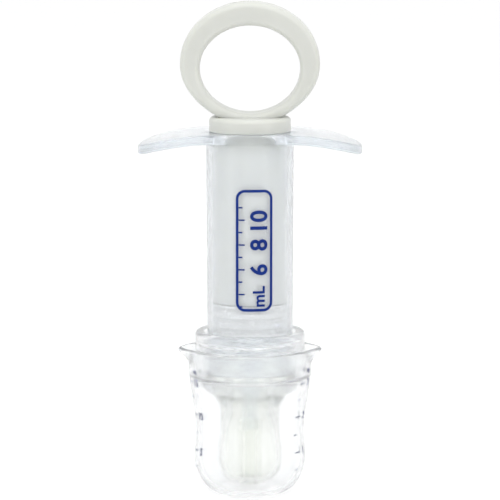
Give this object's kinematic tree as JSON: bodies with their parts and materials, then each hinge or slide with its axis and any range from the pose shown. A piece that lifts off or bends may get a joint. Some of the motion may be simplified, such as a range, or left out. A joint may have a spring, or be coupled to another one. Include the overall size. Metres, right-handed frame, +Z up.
{
  "type": "oral medicine dispenser with measuring cup",
  "caption": "Ring-handled oral medicine dispenser with a curved finger flange, a screwed-on soft nipple and a spouted measuring cup that serves as its cap and stand.",
  "frame": {"origin": "middle of the measuring cup's flat base, which the object stands on", "axes": "+Z up the barrel's axis to the finger ring, +X along the finger flange and the cup's spouts, +Y away from the front"},
  "size_m": [0.0584, 0.0326, 0.1297],
  "materials": {
    "cup_clear": "clear moulded polypropylene, glossy",
    "nipple_silicone": "translucent silicone, satin",
    "collar_clear": "frosty clear polypropylene, glossy",
    "barrel_clear": "clear moulded polypropylene, glossy",
    "seal_silicone": "translucent grey silicone, satin",
    "plunger_milky": "milky natural polypropylene, soft gloss"
  },
  "bodies": {
    "cup": {"measuring_cup": "cup_clear"},
    "nipple": {"nipple": "nipple_silicone"},
    "collar": {"collar": "collar_clear"},
    "barrel": {"barrel": "barrel_clear"},
    "seal": {"piston_seal": "seal_silicone"},
    "plunger": {"plunger": "plunger_milky"}
  },
  "joints": [
    {"name": "dispenser_lift", "type": "slide", "parent": "cup", "child": "nipple", "axis": [0, 0, 1], "range_m": [0, 0.042]},
    {"name": "collar_turn", "type": "hinge", "parent": "nipple", "child": "collar", "pos_m": [0, 0, 0.0354], "axis": [0, 0, -1], "range_deg": [0, 1080]},
    {"name": "barrel_unscrew", "type": "slide", "parent": "nipple", "child": "barrel", "axis": [0, 0, 1], "range_m": [0, 0.00721]},
    {"name": "plunger_pull", "type": "slide", "parent": "barrel", "child": "seal", "axis": [0, 0, 1], "range_m": [0, 0.04]},
    {"name": "plunger_spin", "type": "hinge", "parent": "seal", "child": "plunger", "pos_m": [0, 0, 0.112], "axis": [0, 0, 1], "continuous": true}
  ],
  "couplings": [
    {"joint": "barrel_unscrew", "follows": "collar_turn", "m_per_rad": 0.00038197}
  ]
}
